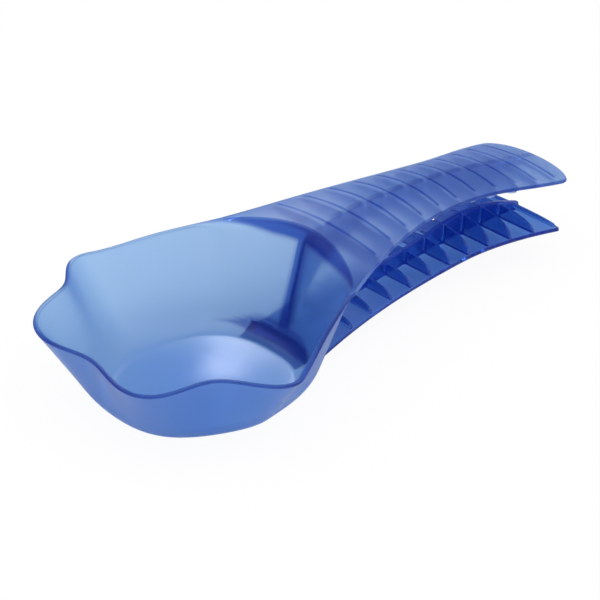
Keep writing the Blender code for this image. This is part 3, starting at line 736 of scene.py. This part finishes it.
def clip():
    m = Shell()
    read = wall_reader()
    st = stations()
    rib_rows = rib_lines(st, 0, 0, 4)
    first, last = rib_rows[0], rib_rows[-1]
    lead_h = np.linspace(0, 1, 8)[:-1]
    lead = np.linspace(HEEL_X, first, 13)[:-1]
    tail = np.linspace(0, 1, 7)[1:]
    lines = []
    for q in [s * SPINE_THICK / 2 for s in RIDGE_STEPS] + [2.8]:
        lines.append(("abs", q))
    for s in (0.1, 0.2, 0.3, 0.4, 0.5, 0.6, 0.69, 0.78, 0.86, 0.92, 0.965, 0.99, 1.0):
        lines.append(("rel", s))
    for q in (0.78, 0.5):
        lines.append(("edge", q))
    nj = len(lines)

    def hw(x):
        x = np.asarray(x, float)
        base_ = low_half(np.maximum(x, HEEL_X))
        return base_ - 1.0 * smooth((HEEL_X - x) / 8)

    nu = len(lead_h) + len(lead) + len(rib_rows) + len(tail)
    gx, gy = np.zeros((nu, nj)), np.zeros((nu, nj))
    bx = np.zeros((nu, nj))
    a0, a1 = len(lead_h), len(lead_h) + len(lead)
    a2 = a1 + len(rib_rows)
    for j, ln in enumerate(lines):
        y = float(line_y(ln, hw(50.0), 0.9))
        xt, xb = read(y, HEEL_TOP) + 0.08, read(y, HEEL_LOW) + 0.08
        gx[:a0, j] = xt + (HEEL_X - xt) * lead_h
        bx[:a0, j] = xb + (HEEL_X - xb) * lead_h
        gx[a0:a1, j] = bx[a0:a1, j] = lead
        gx[a1:a2, j] = bx[a1:a2, j] = rib_rows
        yt = float(line_y(ln, low_half(LOW_TIP_X - LOW_TIP_ROUND), 0.9))
        v = min(1.0, yt / float(low_half(LOW_TIP_X - LOW_TIP_ROUND) - 0.5))
        xe = LOW_TIP_X - LOW_TIP_ROUND + (LOW_TIP_ROUND - 0.5) * math.sqrt(max(0, 1 - v ** 4))
        gx[a2:, j] = bx[a2:, j] = last + (xe - last) * tail
        gy[:, j] = line_y(ln, hw(gx[:, j]), 0.9)
    X = np.concatenate([gx[:, :0:-1], gx], 1)
    XB = np.concatenate([bx[:, :0:-1], bx], 1)
    Y = np.concatenate([-gy[:, :0:-1], gy], 1)
    nl = X.shape[1]
    Z = low_height(X)
    z57 = float(low_height(HEEL_X))
    for i in range(a0):
        for j in range(nl):
            u = (HEEL_X - X[i, j]) / max(HEEL_X - X[0, j], 1e-6)
            Z[i, j] = z57 + (HEEL_TOP - z57) * u ** 2.0
    Zbot = low_height(XB) - PLATE
    zb57 = z57 - PLATE
    for i in range(a0):
        for j in range(nl):
            u = (HEEL_X - XB[i, j]) / max(HEEL_X - XB[0, j], 1e-6)
            Zbot[i, j] = zb57 + (HEEL_LOW - zb57) * smooth(u)
    w = low_half(X)
    spine = ridge(Y, SPINE_THICK / 2, spline(SPINE_X, LOW_SPINE, np.clip(X, 60, 190)))
    spine *= smooth((X - 66.5) / 2.2) * smooth((190.4 - X) / 1.2)
    ribs = np.zeros_like(X)
    for i, xs in enumerate(st):
        d = float(spline(SPINE_X, LOW_RIB, xs))
        r0 = w - 0.9 - (1.2 if i == RIB_COUNT - 1 else 0)
        arc = np.sqrt(np.clip(1 - (np.abs(Y) / r0) ** 2, 0, 1))
        dep = np.where(np.abs(Y) < r0, 0.8 + (d - 0.8) * arc, 0.0)
        ribs = np.maximum(ribs, ridge(X - xs, RIB_THICK / 2, dep))
    Z = Z + np.maximum(spine, ribs)
    top = m.add(np.dstack([X, Y, Z]))
    bot = m.add(np.dstack([XB, Y, Zbot]))
    m.grid(top)
    m.grid(bot)
    loop = [(i, nl - 1) for i in range(nu)] + [(nu - 1, j) for j in range(nl - 2, 0, -1)] \
        + [(i, 0) for i in range(nu - 1, -1, -1)] + [(0, j) for j in range(1, nl - 1)]
    lt = [top[p] for p in loop]
    lb = [bot[p] for p in loop]
    pt = np.array([m.v[i] for i in lt])
    pb = np.array([m.v[i] for i in lb])
    n_open = 2 * nu + nl - 2
    d = np.gradient(pt[:n_open, :2], axis=0)
    n = np.stack([d[:, 1], -d[:, 0]], 1)
    n /= np.linalg.norm(n, axis=1)[:, None]
    if ((pt[:n_open, :2] - np.array([120.0, 0])) * n).sum() < 0:
        n = -n
    ctrl = (pt + pb) / 2
    ctrl[:n_open, :2] += n * 2 * 0.5
    mids = []
    for t in np.linspace(0, 1, 7)[1:-1]:
        mids.append((1 - t) ** 2 * pb + 2 * t * (1 - t) * ctrl + t * t * pt)
    mids = np.array(mids)
    for k, (i, j) in enumerate(loop):
        if i == 0:
            for q, t in enumerate(np.linspace(0, 1, 7)[1:-1]):
                z = HEEL_LOW + (HEEL_TOP - HEEL_LOW) * t
                mids[q, k] = (read(Y[0, j], z) + 0.08, Y[0, j], z)
    mid_i = m.add(mids, EDGE_DEPTH)
    band = np.vstack([np.array(lb)[None], mid_i, np.array(lt)[None]])
    m.grid(band, closed=True)
    return m.make("clip_shell")


# ------------------------------------------------------------- material
TINT = (0.70, 0.885, 0.995)      # what one thin wall lets through
TINT_FROST = (0.84, 0.945, 0.996)     # and the matt handle
CLIP_TINT = (0.33, 0.58, 0.94)
DEEP = (0.06, 0.19, 0.66)       # the same where the moulding is thickest, and in the painted shade at the lip and the arm's root
BODY = (0.15, 0.36, 0.78)       # light scattered back out of the plastic
CLIP_BODY = (0.02, 0.08, 0.54)
BODY_DEEP = (0.03, 0.07, 0.40)
BODY_FROST = (0.20, 0.335, 0.76)
ABSORB = (200.0, 118.0, 18.0)   # extra tint along the path, per metre


def plastic(name, tint, colour, rough, gloss, milk, frost, coat):
    """Translucent blue moulding plastic; milk rises to frost with haze."""
    mat = bpy.data.materials.new(name)
    mat.use_nodes = True
    nt = mat.node_tree
    nt.nodes.clear()
    new = nt.nodes.new
    link = nt.links.new
    out = new("ShaderNodeOutputMaterial")
    bsdf = new("ShaderNodeBsdfPrincipled")
    bsdf.inputs["IOR"].default_value = 1.22
    bsdf.inputs["Transmission Weight"].default_value = 1.0
    bsdf.inputs["Coat IOR"].default_value = 1.45
    geo = new("ShaderNodeNewGeometry")

    def noise(scale, detail):
        n = new("ShaderNodeTexNoise")
        n.inputs["Scale"].default_value = scale
        n.inputs["Detail"].default_value = detail
        link(geo.outputs["Position"], n.inputs["Vector"])
        return n.outputs["Fac"]

    def remap(value, lo, hi, a=0.3, b=0.7):
        n = new("ShaderNodeMapRange")
        n.inputs["From Min"].default_value = a
        n.inputs["From Max"].default_value = b
        n.inputs["To Min"].default_value = lo
        n.inputs["To Max"].default_value = hi
        n.clamp = False
        link(value, n.inputs["Value"])
        return n.outputs["Result"]

    def shade(attribute, lo, hi):
        n = new("ShaderNodeAttribute")
        n.attribute_name = attribute
        return remap(n.outputs["Fac"], lo, hi, 0.0, 1.0)

    cloud = noise(22.0, 1.0)

    def plus(a, b):
        n = new("ShaderNodeMath")
        n.operation = "ADD"
        link(a, n.inputs[0])
        link(b, n.inputs[1])
        return n.outputs["Value"]

    hazy = new("ShaderNodeAttribute")
    hazy.attribute_name = "haze"
    link(plus(remap(cloud, rough * 0.97, rough * 1.03), remap(hazy.outputs["Fac"], 0.0, 0.16, 0.0, 1.0)),
         bsdf.inputs["Roughness"])
    link(plus(remap(cloud, gloss * 0.96, gloss * 1.04), remap(hazy.outputs["Fac"], 0.0, 0.12, 0.0, 1.0)),
         bsdf.inputs["Coat Roughness"])
    link(remap(hazy.outputs["Fac"], coat, coat - 0.18, 0.0, 1.0), bsdf.inputs["Coat Weight"])
    # pigment is a little uneven: slow swirls of density
    swirl = noise(16.0, 1.0)

    soft_swirl = remap(swirl, 0.0, 1.0, 0.1, 0.9)
    soft_swirl.node.interpolation_type = "SMOOTHSTEP"

    def blended(fac, a, b):
        n = new("ShaderNodeMix")
        n.data_type = "RGBA"
        link(fac, n.inputs["Factor"])
        for key, value in (("A", a), ("B", b)):
            if isinstance(value, tuple):
                n.inputs[key].default_value = (*value, 1)
            else:
                link(value, n.inputs[key])
        return n.outputs["Result"]

    def tinted(rgb, spread):
        return blended(soft_swirl, tuple(c * (1 - spread) for c in rgb),
                       tuple(min(1.0, c * (1 + spread)) for c in rgb))

    # thick places hold more of the colour, and so does the painted shade along the rolled lip and at the clip arm's
    # root (depth attribute)
    thick = shade("depth", 0.0, 1.0)
    thin = blended(hazy.outputs["Fac"], tinted(tint, 0.02), TINT_FROST)
    link(blended(thick, thin, DEEP), bsdf.inputs["Base Color"])
    body = blended(thick, blended(hazy.outputs["Fac"], tinted(colour, 0.05), BODY_FROST), BODY_DEEP)
    # bump: fine orange peel over faint flow waves
    fine = noise(900.0, 2.0)
    wave = noise(70.0, 1.0)
    mix = new("ShaderNodeMath")
    mix.operation = "MULTIPLY_ADD"
    mix.inputs[1].default_value = 1.5
    link(wave, mix.inputs[0])
    link(fine, mix.inputs[2])
    bump = new("ShaderNodeBump")
    bump.inputs["Strength"].default_value = 0.08
    bump.inputs["Distance"].default_value = 0.00004
    link(mix.outputs["Value"], bump.inputs["Height"])
    link(bump.outputs["Normal"], bsdf.inputs["Normal"])
    dif = new("ShaderNodeBsdfDiffuse")
    tra = new("ShaderNodeBsdfTranslucent")
    link(body, dif.inputs["Color"])
    link(body, tra.inputs["Color"])
    both = new("ShaderNodeMixShader")
    both.inputs["Fac"].default_value = 0.5
    link(dif.outputs[0], both.inputs[1])
    link(tra.outputs[0], both.inputs[2])
    blend = new("ShaderNodeMixShader")
    link(shade("haze", milk, frost), blend.inputs["Fac"])
    link(bsdf.outputs[0], blend.inputs[1])
    link(both.outputs[0], blend.inputs[2])
    link(blend.outputs[0], out.inputs["Surface"])
    vol = new("ShaderNodeVolumeAbsorption")
    dens = max(ABSORB) * 1.02
    vol.inputs["Color"].default_value = (*[1 - q / dens for q in ABSORB], 1)
    vol.inputs["Density"].default_value = dens
    link(vol.outputs["Volume"], out.inputs["Volume"])
    return mat


scoop_mat = plastic("scoop_blue_plastic", TINT, BODY, 0.30, 0.24, 0.22, 0.31, 0.40)
clip_mat = plastic("clip_blue_plastic", CLIP_TINT, CLIP_BODY, 0.20, 0.16, 0.25, 0.25, 0.55)
shell = scoop()
arm = clip()
shell.data.materials.append(scoop_mat)
arm.data.materials.append(clip_mat)
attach(shell, "scoop")
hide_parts("scoop_bowl", "upper_arm", "upper_rib_frame", "back_web")
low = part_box("clip_arm")[0]
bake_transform(arm)
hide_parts("clip_arm", "clip_rib_frame", "heel_strip")

# ---------------------------------------------------------------- studio
floor_me = bpy.data.meshes.new("floor")
S = 6.0
floor_me.from_pydata([(-S, -S, 0), (S, -S, 0), (S, S, 0), (-S, S, 0)], [], [(0, 1, 2, 3)])
floor = bpy.data.objects.new("floor", floor_me)
bpy.context.scene.collection.objects.link(floor)
floor.location = (0, 0, -0.0004)
fmat = bpy.data.materials.new("pale_floor")
fmat.use_nodes = True
nt = fmat.node_tree
nt.nodes.clear()
o = nt.nodes.new("ShaderNodeOutputMaterial")
d = nt.nodes.new("ShaderNodeBsdfDiffuse")
d.inputs["Color"].default_value = (0.93, 0.93, 0.93, 1)
e = nt.nodes.new("ShaderNodeEmission")
e.inputs["Color"].default_value = (1, 1, 1, 1)
e.inputs["Strength"].default_value = 1.0
lp = nt.nodes.new("ShaderNodeLightPath")
mx = nt.nodes.new("ShaderNodeMixShader")
fac = nt.nodes.new("ShaderNodeMath")
fac.operation = "MULTIPLY"
fac.inputs[1].default_value = 0.93
seen = nt.nodes.new("ShaderNodeMath")
seen.operation = "MULTIPLY_ADD"
seen.inputs[1].default_value = 0.28
nt.links.new(lp.outputs["Is Transmission Ray"], seen.inputs[0])
nt.links.new(lp.outputs["Is Camera Ray"], seen.inputs[2])
nt.links.new(seen.outputs[0], fac.inputs[0])
nt.links.new(fac.outputs[0], mx.inputs["Fac"])
nt.links.new(d.outputs[0], mx.inputs[1])
nt.links.new(e.outputs[0], mx.inputs[2])
nt.links.new(mx.outputs[0], o.inputs["Surface"])
floor_me.materials.append(fmat)

world = bpy.data.worlds.new("studio")
bpy.context.scene.world = world
world.use_nodes = True
nt = world.node_tree
bg = nt.nodes["Background"]
bg.inputs["Color"].default_value = (1, 1, 1, 1)
tc = nt.nodes.new("ShaderNodeTexCoord")
sep = nt.nodes.new("ShaderNodeSeparateXYZ")
nt.links.new(tc.outputs["Generated"], sep.inputs[0])
sky = nt.nodes.new("ShaderNodeMapRange")
sky.interpolation_type = "SMOOTHSTEP"
sky.inputs["From Min"].default_value = 0.30
sky.inputs["From Max"].default_value = 0.78
sky.inputs["To Min"].default_value = 0.40
sky.inputs["To Max"].default_value = 1.75
nt.links.new(sep.outputs["Z"], sky.inputs["Value"])
lp = nt.nodes.new("ShaderNodeLightPath")
pick = nt.nodes.new("ShaderNodeMix")
pick.data_type = "FLOAT"
nt.links.new(lp.outputs["Is Camera Ray"], pick.inputs["Factor"])
# the far side of the studio is darker than the camera's side
away = nt.nodes.new("ShaderNodeVectorMath")
away.operation = "DOT_PRODUCT"
away.inputs[1].default_value = (0.676, 0.737, 0.0)
nt.links.new(tc.outputs["Generated"], away.inputs[0])
dim = nt.nodes.new("ShaderNodeMapRange")
dim.interpolation_type = "SMOOTHSTEP"
dim.inputs["From Min"].default_value = -0.2
dim.inputs["From Max"].default_value = 0.7
dim.inputs["To Min"].default_value = 1.0
dim.inputs["To Max"].default_value = 0.35
nt.links.new(away.outputs["Value"], dim.inputs["Value"])
both = nt.nodes.new("ShaderNodeMath")
both.operation = "MULTIPLY"
nt.links.new(sky.outputs["Result"], both.inputs[0])
nt.links.new(dim.outputs["Result"], both.inputs[1])
nt.links.new(both.outputs[0], pick.inputs["A"])
pick.inputs["B"].default_value = 1.0
nt.links.new(pick.outputs["Result"], bg.inputs["Strength"])


def softbox(name, loc, target, sx, sy, power):
    li = bpy.data.lights.new(name, "AREA")
    li.shape = "RECTANGLE"
    li.size, li.size_y = sx, sy
    li.energy = power
    ob = bpy.data.objects.new(name, li)
    bpy.context.scene.collection.objects.link(ob)
    ob.location = loc
    ob.rotation_euler = (Vector(target) - Vector(loc)).to_track_quat("-Z", "Y").to_euler()
    return ob


# camera
AL, EL, ROLL = math.radians(42.548), math.radians(30.191), math.radians(0.423)
DIST, TX, TY, LIFT = 791.571, 45.085, 59.786, 27.2
r0 = np.array([math.cos(AL), -math.sin(AL), 0.0])
fwd = np.array([math.sin(AL) * math.cos(EL), math.cos(AL) * math.cos(EL), -math.sin(EL)])
u0 = np.cross(r0, fwd)
right = math.cos(ROLL) * r0 + math.sin(ROLL) * u0
upv = -math.sin(ROLL) * r0 + math.cos(ROLL) * u0
eye = right * TX + upv * TY - fwd * DIST
eye[2] -= LIFT
cam_data = bpy.data.cameras.new("camera")
cam = bpy.data.objects.new("camera", cam_data)
bpy.context.scene.collection.objects.link(cam)
cam_data.lens = 120.0
cam_data.sensor_width = 36.0
cam_data.clip_start, cam_data.clip_end = 0.01, 50
mat4 = Matrix.Identity(4)
for i in range(3):
    mat4[i][0], mat4[i][1], mat4[i][2] = right[i], upv[i], -fwd[i]
    mat4[i][3] = eye[i] * MM
cam.matrix_world = mat4
bpy.context.scene.camera = cam

# a soft key behind and above the scoop, mirrored in the floor of the bowl
spot = Vector((0.0205, 0.0010, 0.0026))
mirror = Vector((0.5810, 0.6520, 0.4870))
key = softbox("back_softbox", spot + mirror * 0.32, spot, 0.034, 0.026, 0.070)
key.visible_camera = False
# it lights the floor of the bowl through the handle: only the table stops it
stops = bpy.data.collections.new("key_blockers")
stops.objects.link(floor)
key.light_linking.blocker_collection = stops

sc = bpy.context.scene
sc.view_settings.view_transform = "Standard"
sc.view_settings.look = "None"
sc.cycles.max_bounces = 32
sc.cycles.transmission_bounces = 28
sc.cycles.glossy_bounces = 8
sc.cycles.diffuse_bounces = 5
sc.cycles.transparent_max_bounces = 24
